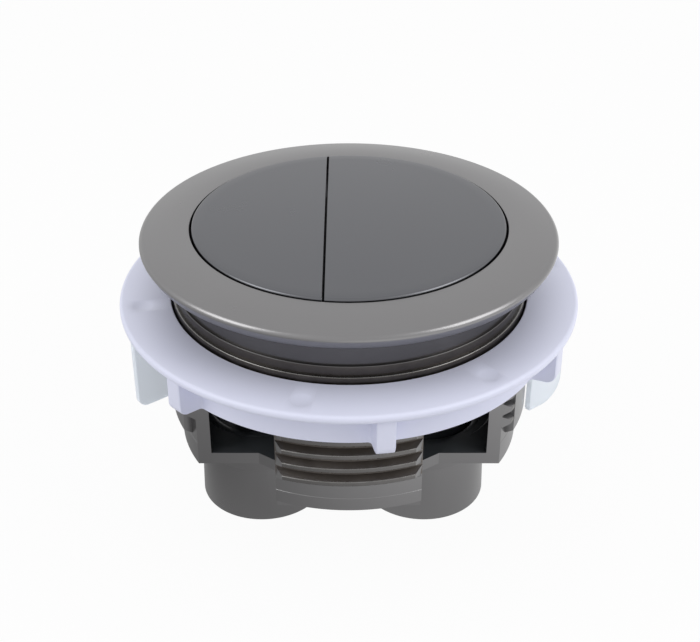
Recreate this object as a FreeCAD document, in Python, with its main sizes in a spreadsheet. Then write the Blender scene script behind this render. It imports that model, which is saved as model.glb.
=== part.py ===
import FreeCAD, Part
import Sketcher
import math
import os

# Dual push button for a cistern lid. Millimetres, +Z up. The origin lies on the
# axis of the threaded body, level with the lower ends of its two leg tubes.
# +X points to the large button and -Y to the front.

document = FreeCAD.newDocument("cistern_push_button")
sheet = document.addObject("Spreadsheet::Sheet", "Sizes")

# Driving dimensions
driving = {
    # Leg tubes and the floor plate that joins them
    "leg_length": 15.7,
    "leg_radius": 11.4,
    "leg_collar_radius": 11.7,
    "leg_collar_length": 4.6,
    "leg_floor": 2.0,
    "well_radius": 9.0,
    "small_leg_inset": 2.5,
    "large_leg_inset": 4.7,
    "spigot_wall": 1.4,
    "spigot_fit_gap": 0.05,
    "floor_thickness": 2.2,
    "counterbore_radius": 12.0,
    "counterbore_depth": 1.0,
    # Threaded body, collar and neck under the bezel
    "body_radius": 29.5,
    "body_wall": 1.9,
    "body_depth": 24.8,
    "thread_depth": 1.3,
    "thread_pitch": 2.56,
    "thread_ribs": 7,
    "thread_top_gap": 1.04,
    "thread_land": 0.7,
    "thread_upper_flank": 0.6,
    "thread_lower_flank": 0.9,
    "pad_span": 50.0,
    "collar_step": 0.5,
    "collar_length": 2.0,
    "neck_step": 0.4,
    "neck_wall": 1.6,
    "neck_length": 5.8,
    # Four windows in the body wall and floor, as seen in plan
    "window_side_y": 15.0,
    "window_corner_x": 15.2,
    "tongue_half_width": 11.6,
    "gusset_y": 17.5,
    "window_rise": 18.2,
    "toe_height": 1.4,
    "toe_depth": 3.6,
    # Bezel
    "rim_height": 2.6,
    "rim_flange": 4.6,
    "rim_flare": 1.1,
    "rim_shoulder": 0.7,
    "rim_inset": 0.5,
    "rim_bevel": 0.3,
    "bezel_rise": 0.9,
    "lip_reach": 1.0,
    "lip_thickness": 3.3,
    # Button caps
    "cap_clearance": 0.5,
    "split_x": -3.77,
    "split_gap": 0.4,
    "cap_proud": 0.3,
    "cap_crown": 0.4,
    "cap_plate": 2.0,
    "cap_wall": 1.3,
    "cap_depth": 7.6,
    "cap_edge_bevel": 0.4,
    "hook_reach": 0.7,
    "hook_height": 1.6,
    "hook_play": 0.1,
    "hook_span": 14.0,
    "hook_spread": 52.0,
    "boss_wall": 2.0,
    "boss_length": 8.0,
    # Plungers and return springs
    "stem_radius": 4.9,
    "stem_running_gap": 0.3,
    "stem_fit_gap": 0.05,
    "plunger_lift": 0.5,
    "plunger_head_gap": 0.1,
    "seat_radius": 8.4,
    "seat_thickness": 1.5,
    "seat_height": 15.5,
    "socket_radius": 3.1,
    "socket_depth": 14.0,
    "socket_chamfer": 0.6,
    "coil_radius": 6.9,
    "wire_radius": 0.4,
    "coil_turns": 5.5,
    "coil_seat_gap": 0.05,
    # Lock nut
    "clamp_gap": 8.4,
    "flange_width": 4.7,
    "flange_thickness": 2.0,
    "flange_bevel": 0.6,
    "nut_height": 8.1,
    "hub_wall": 2.5,
    "hub_root_round": 0.8,
    "thread_clearance": 0.3,
    "nut_lip": 1.3,
    "nut_turn": 38.4,
    "lug_count": 6,
    "lug_width": 2.9,
    "lug_reach": 4.0,
    "lug_drop": 7.8,
    "lug_round": 2.2,
    "wing_width": 1.2,
    "wing_offset": 21.7,
    "wing_gap": 0.45,
    "wing_inset": 1.27,
    "wing_drop": 24.0,
    "wing_round": 2.0,
}

for row, (alias, value) in enumerate(driving.items(), start=1):
    sheet.set("A" + str(row), str(value))
    sheet.setAlias("A" + str(row), alias)
document.recompute()


# A length that knows its number and the sheet expression it comes from
class Size:
    def __init__(self, value, text):
        self.value = value
        self.text = text

    def joined(self, sign, other, value):
        other_text = other.text if isinstance(other, Size) else repr(other)
        return Size(value, "(" + self.text + " " + sign + " " + other_text + ")")

    def __add__(self, other):
        return self.joined("+", other, self.value + number(other))

    def __sub__(self, other):
        return self.joined("-", other, self.value - number(other))

    def __mul__(self, other):
        return self.joined("*", other, self.value * number(other))

    def __truediv__(self, other):
        return self.joined("/", other, self.value / number(other))

    def __neg__(self):
        return Size(-self.value, "(0 - " + self.text + ")")

    def root(self):
        return Size(math.sqrt(self.value), "sqrt(" + self.text + ")")


def number(size):
    return size.value if isinstance(size, Size) else size


def get(alias):
    return Size(driving[alias], "Sizes." + alias)


def bind(item, prop, size):
    item.setExpression(prop, size.text)


# Heights and radii worked out from the driving dimensions
floor_underside = get("leg_length")
floor_top = floor_underside + get("floor_thickness")
collar_base = floor_top + get("body_depth")
neck_base = collar_base + get("collar_length")
rim_underside = neck_base + get("neck_length")
rim_top = rim_underside + get("rim_height")
opening_top = rim_top + get("bezel_rise")
lip_underside = opening_top - get("lip_thickness")
thread_crest = get("body_radius") + get("thread_depth")
body_bore = get("body_radius") - get("body_wall")
collar_radius = get("body_radius") - get("collar_step")
neck_radius = collar_radius - get("neck_step")
neck_bore = neck_radius - get("neck_wall")
rim_foot_radius = neck_radius + get("rim_flange")
rim_radius = rim_foot_radius + get("rim_flare")
opening_radius = neck_bore - get("lip_reach")
cap_radius = opening_radius - get("cap_clearance")
cap_rim = opening_top + get("cap_proud")
cap_foot = cap_rim - get("cap_depth")
plate_underside = cap_rim - get("cap_plate")
stem_hole = get("stem_radius") + get("stem_running_gap")
spigot_radius = get("well_radius") + get("spigot_wall")
small_leg = get("small_leg_inset") + get("leg_radius") - get("body_radius")
large_leg = get("body_radius") - get("large_leg_inset") - get("leg_radius")
nut_top = rim_underside - get("clamp_gap")
nut_base = nut_top - get("nut_height")
flange_base = nut_top - get("flange_thickness")
nut_bore = thread_crest + get("thread_clearance")
nut_mouth = get("body_radius") + get("thread_clearance")
hub_radius = nut_bore + get("hub_wall")
flange_radius = hub_radius + get("flange_width")
rib_height = get("thread_lower_flank") + get("thread_land") + get("thread_upper_flank")
thread_top = nut_top - get("nut_lip") - get("thread_top_gap")
thread_start = thread_top - rib_height - get("thread_pitch") * (get("thread_ribs") - 1)


# Bodies, sketches and features

def new_body(label):
    body = document.addObject("PartDesign::Body", label)
    body.Label = label
    return body


def new_sketch(body, name, role, lift=None):
    sketch = body.newObject("Sketcher::SketchObject", name)
    plane = next(item for item in body.Origin.OriginFeatures if item.Role == role)
    sketch.AttachmentSupport = [(plane, "")]
    sketch.MapMode = "FlatFace"
    if lift is not None:
        bind(sketch, ".AttachmentOffset.Base.z", lift)
    return sketch


# Turns a sketch about its upright axis, one way or the other
def turn_sketch(sketch, degrees, way):
    turn = FreeCAD.Rotation(FreeCAD.Vector(0, way, 0), number(degrees))
    sketch.AttachmentOffset = FreeCAD.Placement(FreeCAD.Vector(), turn)
    bind(sketch, ".AttachmentOffset.Rotation.Angle", degrees)


# Ties one point of a sketch to its two coordinates; a plain 0 lies on the axis
def tie_point(sketch, geometry, end, x, y):
    for kind, size, axis in (("DistanceX", x, -2), ("DistanceY", y, -1)):
        if isinstance(size, Size):
            value = number(size)
            index = sketch.addConstraint(Sketcher.Constraint(kind, -1, 1, geometry, end, value))
            bind(sketch, "Constraints[" + str(index) + "]", size)
        else:
            sketch.addConstraint(Sketcher.Constraint("PointOnObject", geometry, end, axis))


def vector(point):
    return FreeCAD.Vector(number(point[0]), number(point[1]), 0)


# A closed outline through tied points; an edge named in arcs is an arc about a
# centre on the sketch's vertical axis, drawn anticlockwise
def add_outline(sketch, points, arcs=()):
    first = sketch.GeometryCount
    count = len(points)
    for index, start in enumerate(points):
        finish = points[(index + 1) % count]
        if index in arcs:
            a = vector(start)
            b = vector(finish)
            centre_y = (b.x * b.x + b.y * b.y - a.x * a.x - a.y * a.y) / (2 * (b.y - a.y))
            centre = FreeCAD.Vector(0, centre_y, 0)
            circle = Part.Circle(centre, FreeCAD.Vector(0, 0, 1), a.distanceToPoint(centre))
            angles = [math.atan2(p.y - centre_y, p.x) for p in (a, b)]
            sketch.addGeometry(Part.ArcOfCircle(circle, angles[0], angles[1]))
            sketch.addConstraint(Sketcher.Constraint("PointOnObject", first + index, 3, -2))
        else:
            sketch.addGeometry(Part.LineSegment(vector(start), vector(finish)))
    for index in range(count):
        after = (index + 1) % count
        sketch.addConstraint(Sketcher.Constraint("Coincident", first + index, 2, first + after, 1))
    for index, (x, y) in enumerate(points):
        tie_point(sketch, first + index, 1, x, y)


def add_circle(sketch, x, radius):
    centre = FreeCAD.Vector(number(x), 0, 0)
    index = sketch.addGeometry(Part.Circle(centre, FreeCAD.Vector(0, 0, 1), number(radius)))
    tie_point(sketch, index, 3, x, 0)
    constraint = sketch.addConstraint(Sketcher.Constraint("Radius", index, number(radius)))
    bind(sketch, "Constraints[" + str(constraint) + "]", radius)


def revolve(body, name, points, arcs=(), cut=False):
    sketch = new_sketch(body, name + "_profile", "XZ_Plane")
    add_outline(sketch, points, arcs)
    kind = "PartDesign::Groove" if cut else "PartDesign::Revolution"
    feature = body.newObject(kind, name)
    feature.Profile = sketch
    feature.ReferenceAxis = (sketch, ["V_Axis"])
    feature.Angle = 360
    return feature


# Adds or takes away material upwards from a sketch on a level plane
def rise(body, name, sketch, length, cut=False):
    feature = body.newObject("PartDesign::Pocket" if cut else "PartDesign::Pad", name)
    feature.Profile = sketch
    feature.Reversed = cut
    bind(feature, "Length", length)
    return feature


# Adds a plate of even thickness on both sides of an upright sketch
def plate(body, name, sketch, width):
    feature = body.newObject("PartDesign::Pad", name)
    feature.Profile = sketch
    feature.Midplane = True
    bind(feature, "Length", width)
    return feature


# Rounds or bevels the edges of the last feature for which the test is true
def dress_edges(body, name, kind, size, test):
    document.recompute()
    base = body.Tip
    names = ["Edge" + str(n) for n, edge in enumerate(base.Shape.Edges, start=1) if test(edge)]
    feature = body.newObject("PartDesign::" + kind, name)
    feature.Base = (base, names)
    bind(feature, "Radius" if kind == "Fillet" else "Size", size)
    return feature


def near(value, size):
    return abs(value - number(size)) < 0.01


# How far the middle of an edge lies from the origin's axis
def distance_from_axis(edge):
    return math.hypot(edge.CenterOfMass.x, edge.CenterOfMass.y)


# True for a level circular edge of this radius about the origin's axis
def ring_at(edge, radius, height):
    level = near(edge.BoundBox.ZMin, height) and near(edge.BoundBox.ZMax, height)
    curve = edge.Curve
    return level and isinstance(curve, Part.Circle) and near(curve.Radius, radius)


def polar_pattern(body, name, feature, count):
    pattern = body.newObject("PartDesign::PolarPattern", name)
    pattern.Originals = [feature]
    pattern.Axis = (feature.Profile[0], ["V_Axis"])
    pattern.Angle = 360
    bind(pattern, "Occurrences", count)
    body.Tip = pattern
    return pattern


# Distance along a chord of a circle, at this offset from the circle's centre
def along_chord(radius, offset):
    return (radius * radius - offset * offset).root()


# Housing: bezel, neck, threaded body and floor in one moulding
def make_housing():
    body = new_body("housing")
    rim_shoulder = rim_top - get("rim_shoulder")
    revolve(body, "shell", [
        (0, floor_underside),
        (get("body_radius"), floor_underside),
        (get("body_radius"), collar_base),
        (collar_radius, collar_base),
        (collar_radius, neck_base),
        (neck_radius, neck_base),
        (neck_radius, rim_underside),
        (rim_foot_radius, rim_underside),
        (rim_radius, rim_shoulder),
        (rim_radius - get("rim_inset"), rim_top),
        (opening_radius, opening_top),
        (opening_radius, lip_underside),
        (neck_bore, lip_underside),
        (neck_bore, collar_base),
        (body_bore, collar_base),
        (body_bore, floor_top),
        (0, floor_top),
    ])
    dress_edges(body, "rim_edges", "Chamfer", get("rim_bevel"), lambda edge: (
        ring_at(edge, rim_foot_radius, rim_underside)
        or ring_at(edge, rim_radius, rim_shoulder)
        or ring_at(edge, rim_radius - get("rim_inset"), rim_top)
        or ring_at(edge, opening_radius, opening_top)
    ))
    add_thread_ribs(body)
    add_side_pads(body)
    cut_windows(body)
    bore_floor(body)
    return body


# The thread's main form: one rib for each turn, without the lead
def add_thread_ribs(body):
    root = get("body_radius") - get("body_wall") / 2
    crest_low = thread_start + get("thread_lower_flank")
    crest_high = crest_low + get("thread_land")
    rib = revolve(body, "thread_rib", [
        (root, thread_start),
        (get("body_radius"), thread_start),
        (thread_crest, crest_low),
        (thread_crest, crest_high),
        (get("body_radius"), crest_high + get("thread_upper_flank")),
        (root, crest_high + get("thread_upper_flank")),
    ])
    pattern = body.newObject("PartDesign::LinearPattern", "thread_ribs")
    pattern.Originals = [rib]
    pattern.Direction = (rib.Profile[0], ["V_Axis"])
    bind(pattern, "Length", get("thread_pitch") * (get("thread_ribs") - 1))
    bind(pattern, "Occurrences", get("thread_ribs"))
    body.Tip = pattern


# Smooth bands across the ribs on both sides, where the mould's halves part
def add_side_pads(body):
    root = get("body_radius") - get("body_wall") / 2
    for name, side in (("right_pad", 1), ("left_pad", -1)):
        sketch = new_sketch(body, name + "_profile", "XZ_Plane")
        points = [
            (root, thread_start),
            (get("body_radius"), thread_start),
            (thread_crest, thread_start + get("thread_lower_flank")),
            (thread_crest, thread_top - get("thread_upper_flank")),
            (get("body_radius"), thread_top),
            (root, thread_top),
        ]
        add_outline(sketch, [(x if side > 0 else -x, y) for x, y in points])
        feature = body.newObject("PartDesign::Revolution", name)
        feature.Profile = sketch
        feature.ReferenceAxis = (sketch, ["V_Axis"])
        feature.Midplane = True
        bind(feature, "Angle", get("pad_span"))


def cut_windows(body):
    sketch = new_sketch(body, "window_plan", "XY_Plane", floor_underside)
    outside = rim_radius
    for side_x in (1, -1):
        for side_y in (1, -1):
            corners = [
                (get("tongue_half_width"), get("gusset_y")),
                (get("window_corner_x"), get("window_side_y")),
                (outside, get("window_side_y")),
                (outside, outside),
                (get("tongue_half_width"), outside),
            ]
            signed = [(x if side_x > 0 else -x, y if side_y > 0 else -y) for x, y in corners]
            add_outline(sketch, signed)
    rise(body, "windows", sketch, get("floor_thickness") + get("window_rise"), cut=True)
    sketch = new_sketch(body, "toe_plan", "XY_Plane", floor_underside)
    for side_y in (1, -1):
        inner = get("body_radius") - get("toe_depth")
        corners = [
            (-get("window_corner_x"), inner),
            (get("window_corner_x"), inner),
            (get("window_corner_x"), outside),
            (-get("window_corner_x"), outside),
        ]
        signed = [(x, y if side_y > 0 else -y) for x, y in corners]
        add_outline(sketch, signed)
    rise(body, "tongue_toes", sketch, get("toe_height"), cut=True)


# Two holes in the floor for the leg tubes' spigots, the larger one stepped
def bore_floor(body):
    sketch = new_sketch(body, "spigot_plan", "XY_Plane", floor_underside)
    for x in (small_leg, large_leg):
        add_circle(sketch, x, spigot_radius + get("spigot_fit_gap"))
    rise(body, "spigot_holes", sketch, get("floor_thickness"), cut=True)
    sketch = new_sketch(body, "counterbore_plan", "XY_Plane", floor_top - get("counterbore_depth"))
    add_circle(sketch, large_leg, get("counterbore_radius"))
    rise(body, "counterbore", sketch, get("counterbore_depth"), cut=True)


# Leg tube: a well with a collar under the floor and a spigot through it
def make_leg(label, leg_x, spigot_top):
    body = new_body(label)
    collar = floor_underside - get("leg_collar_length")
    revolve(body, "tube", [
        (stem_hole, 0),
        (get("leg_radius"), 0),
        (get("leg_radius"), collar),
        (get("leg_collar_radius"), collar),
        (get("leg_collar_radius"), floor_underside),
        (spigot_radius, floor_underside),
        (spigot_radius, spigot_top),
        (get("well_radius"), spigot_top),
        (get("well_radius"), get("leg_floor")),
        (stem_hole, get("leg_floor")),
    ])
    bind(body, ".Placement.Base.x", leg_x)
    return body


# Lock nut: flange, hub with grip lugs, and two long wings
def make_nut():
    body = new_body("lock_nut")
    revolve(body, "nut_ring", [
        (nut_mouth, nut_top),
        (flange_radius, nut_top),
        (flange_radius, flange_base),
        (hub_radius, flange_base),
        (hub_radius, nut_base),
        (nut_bore, nut_base),
        (nut_bore, nut_top - get("nut_lip")),
        (nut_mouth, nut_top - get("nut_lip")),
    ])
    dress_edges(body, "flange_edges", "Chamfer", get("flange_bevel"), lambda edge: (
        ring_at(edge, flange_radius, nut_top)
        or ring_at(edge, flange_radius, flange_base)
    ))
    lug_root = (nut_bore + hub_radius) / 2
    lug_tip = hub_radius + get("lug_reach")
    lug_base = nut_top - get("lug_drop")
    sketch = new_sketch(body, "lug_profile", "XZ_Plane")
    add_outline(sketch, [
        (lug_root, flange_base + get("flange_thickness") / 2),
        (lug_root, lug_base),
        (lug_tip, lug_base),
        (lug_tip, flange_base + get("flange_thickness") / 2),
    ])
    lug = plate(body, "lug", sketch, get("lug_width"))
    polar_pattern(body, "lugs", lug, get("lug_count"))
    dress_edges(body, "lug_tips", "Fillet", get("lug_round"), lambda edge: (
        near(edge.BoundBox.ZMin, lug_base)
        and near(edge.BoundBox.ZMax, lug_base)
        and distance_from_axis(edge) > number(lug_tip) - 0.01
    ))
    dress_edges(body, "lug_roots", "Fillet", get("hub_root_round"), lambda edge: (
        near(edge.BoundBox.ZMin, lug_base)
        and near(edge.BoundBox.ZMax, flange_base)
        and near(distance_from_axis(edge), hub_radius)
    ))
    wing_base = nut_top - get("wing_drop")
    for name, side in (("right_wing", 1), ("left_wing", -1)):
        offset = get("wing_offset") if side > 0 else -get("wing_offset")
        inner = along_chord(nut_bore + get("wing_gap"), get("wing_offset"))
        outer = along_chord(flange_radius - get("wing_inset"), get("wing_offset"))
        sketch = new_sketch(body, name + "_profile", "XZ_Plane", offset)
        points = [
            (inner, nut_top - get("nut_lip")),
            (inner, wing_base),
            (outer - get("wing_round"), wing_base),
            (outer, wing_base + get("wing_round")),
            (outer, flange_base + get("flange_thickness") / 2),
        ]
        add_outline(sketch, [(x if side > 0 else -x, y) for x, y in points])
        plate(body, name, sketch, get("wing_width"))
    bind(body, ".Placement.Rotation.Angle", get("nut_turn"))
    return body


# One D-shaped cap on its side of the split: 1 is +X, -1 is -X
def make_cap(label, side, leg_x):
    body = new_body(label)
    edge_x = get("split_x") + get("split_gap") / 2 if side > 0 else get("split_x") - get("split_gap") / 2
    wall_x = edge_x + get("cap_wall") if side > 0 else edge_x - get("cap_wall")
    beyond = -cap_radius * 2.0 if side > 0 else cap_radius * 2.0
    revolve(body, "disc", [
        (0, cap_foot),
        (cap_radius, cap_foot),
        (cap_radius, cap_rim),
        (0, cap_rim + get("cap_crown")),
    ], arcs=(2,))
    sketch = new_sketch(body, "split_plan", "XY_Plane", cap_foot)
    add_outline(sketch, [
        (edge_x, -cap_radius * 2.0),
        (edge_x, cap_radius * 2.0),
        (beyond, cap_radius * 2.0),
        (beyond, -cap_radius * 2.0),
    ])
    rise(body, "split", sketch, get("cap_depth") * 2.0, cut=True)
    dress_edges(body, "top_edges", "Chamfer", get("cap_edge_bevel"), lambda edge: (
        edge.BoundBox.ZMin > cap_rim.value - 0.01
    ))
    hollow_cap(body, wall_x, side)
    sketch = new_sketch(body, "boss_plan", "XY_Plane", plate_underside - get("boss_length"))
    add_circle(sketch, leg_x, get("stem_radius") + get("stem_fit_gap") + get("boss_wall"))
    rise(body, "boss", sketch, get("boss_length") + get("cap_plate") / 2)
    sketch = new_sketch(body, "socket_plan", "XY_Plane", plate_underside - get("boss_length"))
    add_circle(sketch, leg_x, get("stem_radius") + get("stem_fit_gap"))
    rise(body, "stem_socket", sketch, get("boss_length"), cut=True)
    for index, way in enumerate((-1, 0, 1)):
        add_hook(body, "hook_" + str(index + 1), way, side)
    return body


# Takes out the D-shaped hollow between the skirt and the wall along the split
def hollow_cap(body, wall_x, side):
    radius = cap_radius - get("cap_wall")
    half_chord = math.sqrt(radius.value ** 2 - wall_x.value ** 2)
    low = FreeCAD.Vector(wall_x.value, -half_chord, 0)
    high = FreeCAD.Vector(wall_x.value, half_chord, 0)
    start, finish = (low, high) if side > 0 else (high, low)
    start_angle = math.atan2(start.y, start.x)
    finish_angle = math.atan2(finish.y, finish.x)
    circle = Part.Circle(FreeCAD.Vector(), FreeCAD.Vector(0, 0, 1), radius.value)
    sketch = new_sketch(body, "hollow_plan", "XY_Plane", cap_foot)
    sketch.addGeometry(Part.ArcOfCircle(circle, start_angle, finish_angle))
    sketch.addGeometry(Part.LineSegment(finish, start))
    sketch.addConstraint(Sketcher.Constraint("Coincident", 0, 3, -1, 1))
    sketch.addConstraint(Sketcher.Constraint("Coincident", 0, 2, 1, 1))
    sketch.addConstraint(Sketcher.Constraint("Coincident", 1, 2, 0, 1))
    sketch.addConstraint(Sketcher.Constraint("Vertical", 1))
    index = sketch.addConstraint(Sketcher.Constraint("Radius", 0, radius.value))
    bind(sketch, "Constraints[" + str(index) + "]", radius)
    index = sketch.addConstraint(Sketcher.Constraint("DistanceX", -1, 1, 1, 1, wall_x.value))
    bind(sketch, "Constraints[" + str(index) + "]", wall_x)
    rise(body, "hollow", sketch, plate_underside - cap_foot, cut=True)


# A snap hook on the skirt that stops the cap under the bezel's lip
def add_hook(body, name, way, side):
    sketch = new_sketch(body, name + "_profile", "XZ_Plane")
    if way != 0:
        turn_sketch(sketch, get("hook_spread"), way)
    inner = cap_radius - get("cap_wall") / 2
    outer = cap_radius + get("hook_reach")
    hook_top = lip_underside - get("hook_play")
    points = [
        (inner, hook_top),
        (outer, hook_top),
        (outer, hook_top - get("hook_height") / 2),
        (inner, hook_top - get("hook_height")),
    ]
    add_outline(sketch, [(x if side > 0 else -x, y) for x, y in points])
    feature = body.newObject("PartDesign::Revolution", name)
    feature.Profile = sketch
    feature.ReferenceAxis = (sketch, ["V_Axis"])
    feature.Midplane = True
    bind(feature, "Angle", get("hook_span"))


# Plunger that slides in a leg tube, with a rod socket in its foot
def make_plunger(label, leg_x):
    body = new_body(label)
    foot = get("plunger_lift")
    head = plate_underside - get("plunger_head_gap")
    socket_top = get("plunger_lift") + get("socket_depth")
    revolve(body, "stem", [
        (0, socket_top),
        (get("socket_radius"), socket_top),
        (get("socket_radius"), foot + get("socket_chamfer")),
        (get("socket_radius") + get("socket_chamfer"), foot),
        (get("stem_radius"), foot),
        (get("stem_radius"), head),
        (0, head),
    ])
    bind(body, ".Placement.Base.x", leg_x)
    return body


# Ring pressed onto the plunger, which its return spring pushes up
def make_seat(label, leg_x):
    body = new_body(label)
    seat_bore = get("stem_radius") + get("stem_fit_gap")
    seat_top = get("seat_height") + get("seat_thickness")
    revolve(body, "ring", [
        (seat_bore, get("seat_height")),
        (get("seat_radius"), get("seat_height")),
        (get("seat_radius"), seat_top),
        (seat_bore, seat_top),
    ])
    bind(body, ".Placement.Base.x", leg_x)
    return body


# Return spring between the bottom of the well and the plunger's seat
def make_spring(label, leg_x):
    first = get("leg_floor") + get("coil_seat_gap") + get("wire_radius")
    last = get("seat_height") - get("coil_seat_gap") - get("wire_radius")
    helix = document.addObject("Part::Helix", label + "_path")
    bind(helix, "Pitch", (last - first) / get("coil_turns"))
    bind(helix, "Height", last - first)
    bind(helix, "Radius", get("coil_radius"))
    wire = document.addObject("Part::RegularPolygon", label + "_wire")
    wire.Polygon = 4
    bind(wire, "Circumradius", get("wire_radius"))
    bind(wire, ".Placement.Base.x", get("coil_radius"))
    wire.Placement = FreeCAD.Placement(
        FreeCAD.Vector(driving["coil_radius"], 0, 0),
        FreeCAD.Rotation(FreeCAD.Vector(1, 0, 0), 90),
    )
    spring = document.addObject("Part::Sweep", label)
    spring.Label = label
    spring.Sections = [wire]
    spring.Spine = (helix, ["Edge1"])
    spring.Solid = True
    spring.Frenet = True
    bind(spring, ".Placement.Base.x", leg_x)
    bind(spring, ".Placement.Base.z", first)
    return spring


pieces = [
    make_housing(),
    make_leg("small_leg_tube", small_leg, floor_top),
    make_leg("large_leg_tube", large_leg, floor_top - get("counterbore_depth")),
    make_nut(),
    make_cap("small_button", -1, small_leg),
    make_cap("large_button", 1, large_leg),
    make_plunger("small_plunger", small_leg),
    make_plunger("large_plunger", large_leg),
    make_seat("small_spring_seat", small_leg),
    make_seat("large_spring_seat", large_leg),
    make_spring("small_return_spring", small_leg),
    make_spring("large_return_spring", large_leg),
]
document.recompute()

# Nothing is written unless every object built and every piece is a sound solid
for item in document.Objects:
    if "Invalid" in item.State or "Error" in item.State:
        raise RuntimeError(item.Name + " did not build")
for piece in pieces:
    if piece.Shape.isNull() or not piece.Shape.isValid() or len(piece.Shape.Solids) != 1:
        raise RuntimeError(piece.Label + " is not one sound solid")

os.makedirs("parts", exist_ok=True)
for piece in pieces:
    piece.Shape.exportStep("parts/" + piece.Label + ".step")
    box = piece.Shape.BoundBox
    print(piece.Label, round(piece.Shape.Volume, 1), "mm3,", "z", round(box.ZMin, 2), "to", round(box.ZMax, 2))
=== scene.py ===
import math

import bmesh
import bpy
from mathutils import Matrix, Vector


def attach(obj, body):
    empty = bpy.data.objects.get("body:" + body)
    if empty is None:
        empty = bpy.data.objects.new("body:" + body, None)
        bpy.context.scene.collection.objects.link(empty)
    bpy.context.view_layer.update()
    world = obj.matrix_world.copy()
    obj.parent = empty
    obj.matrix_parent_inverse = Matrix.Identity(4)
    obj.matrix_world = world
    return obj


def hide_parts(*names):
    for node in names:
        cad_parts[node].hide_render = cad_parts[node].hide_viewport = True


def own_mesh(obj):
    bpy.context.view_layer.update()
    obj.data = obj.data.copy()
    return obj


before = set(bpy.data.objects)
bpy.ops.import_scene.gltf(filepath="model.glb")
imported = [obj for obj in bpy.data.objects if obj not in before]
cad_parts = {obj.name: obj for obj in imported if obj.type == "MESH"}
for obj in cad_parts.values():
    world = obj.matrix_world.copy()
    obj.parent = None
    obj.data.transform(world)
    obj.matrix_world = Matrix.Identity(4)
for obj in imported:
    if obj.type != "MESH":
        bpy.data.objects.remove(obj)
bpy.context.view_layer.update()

mm = 0.001

# Settings are in millimetres from the frame's origin, which lies on the
# body's axis, level with the lower ends of the leg tubes. Slacks tell
# which faces and edges lie on a given line, and change no shape.

slack = {"edge": 0.003, "merge": 0.0005, "face": 0.05, "crest": 0.03}

# The screw thread round the body, as one helical ridge
bodyThread = {
    "root": 29.5, "crest": 30.8, "sink": 0.3, "pitch": 2.56,
    "lowerFlank": 0.9, "crestLand": 0.7, "upperFlank": 0.6, "crestSoft": 0.1,
    "startAngle": 225, "start": 22.34, "turns": 5.9, "stepsPerTurn": 144,
    "endCut": (0.85, 0.53), "inset": 0.03,
    "padLow": 20.9, "padHigh": 39.76, "padSpan": 53.4, "padRaise": 0.04, "padSteps": 48,
}


# Bmesh helpers

def ringProfile(bm, profile, steps=192, centreX=0.0):
    verts = [bm.verts.new((r, 0, z)) for r, z in profile]
    edges = [bm.edges.new((a, b)) for a, b in zip(verts, verts[1:])]
    if profile[0][0] > 0 or profile[-1][0] > 0:
        edges.append(bm.edges.new((verts[-1], verts[0])))
    before = set(bm.verts) - set(verts)
    bmesh.ops.spin(bm, geom=verts + edges, cent=(0, 0, 0), axis=(0, 0, 1),
                   angle=2 * math.pi, steps=steps, use_merge=True)
    made = [v for v in bm.verts if v not in before]
    bmesh.ops.remove_doubles(bm, verts=made, dist=slack["merge"])
    made = [v for v in bm.verts if v not in before]
    bmesh.ops.translate(bm, vec=(centreX, 0, 0), verts=made)
    return made


def closeOutwards(bm):
    bmesh.ops.recalc_face_normals(bm, faces=bm.faces)


def roundRing(bm, radius, height, size, centreX=0.0, segments=3):
    def onRing(vert):
        distance = math.hypot(vert.co.x - centreX, vert.co.y)
        return abs(distance - radius) < slack["edge"] and abs(vert.co.z - height) < slack["edge"]
    edges = [e for e in bm.edges if onRing(e.verts[0]) and onRing(e.verts[1])]
    bmesh.ops.bevel(bm, geom=edges, offset=size, offset_type="OFFSET", segments=segments,
                    profile=0.5, affect="EDGES", material=-1, clamp_overlap=True)


def prism(bm, outline, low, high):
    face = bm.faces.new([bm.verts.new((x, y, low)) for x, y in outline])
    raised = bmesh.ops.extrude_face_region(bm, geom=[face])
    verts = [g for g in raised["geom"] if isinstance(g, bmesh.types.BMVert)]
    bmesh.ops.translate(bm, vec=(0, 0, high - low), verts=verts)


def smoothByAngle(bm, degrees=32):
    limit = math.radians(degrees)
    for face in bm.faces:
        face.smooth = True
    for edge in bm.edges:
        edge.smooth = edge.is_manifold and edge.calc_face_angle(0) < limit


def meshObject(name, bm):
    bmesh.ops.scale(bm, vec=(mm, mm, mm), verts=bm.verts)
    mesh = bpy.data.meshes.new(name)
    bm.to_mesh(mesh)
    bm.free()
    piece = bpy.data.objects.new(name, mesh)
    bpy.context.scene.collection.objects.link(piece)
    return piece


def applied(piece):
    depsgraph = bpy.context.evaluated_depsgraph_get()
    mesh = bpy.data.meshes.new_from_object(piece.evaluated_get(depsgraph))
    piece.modifiers.clear()
    piece.data = mesh
    return piece


def cutAway(piece, cutter):
    modifier = piece.modifiers.new("cut", "BOOLEAN")
    modifier.object = cutter
    modifier.operation = "DIFFERENCE"
    modifier.solver = "EXACT"
    applied(piece)
    bpy.data.objects.remove(cutter)


def resmooth(piece, degrees=32):
    bm = bmesh.new()
    bm.from_mesh(piece.data)
    smoothByAngle(bm, degrees)
    bm.to_mesh(piece.data)
    bm.free()


def dress(piece, body, materials, nodes=()):
    for material in materials:
        piece.data.materials.append(material)
    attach(piece, body)
    if nodes:
        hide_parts(*nodes)
    return piece


# Materials

def groupNode(tree, group, values):
    node = tree.nodes.new("ShaderNodeGroup")
    node.node_tree = group
    for key, value in values.items():
        node.inputs[key].default_value = value
    return node


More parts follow.
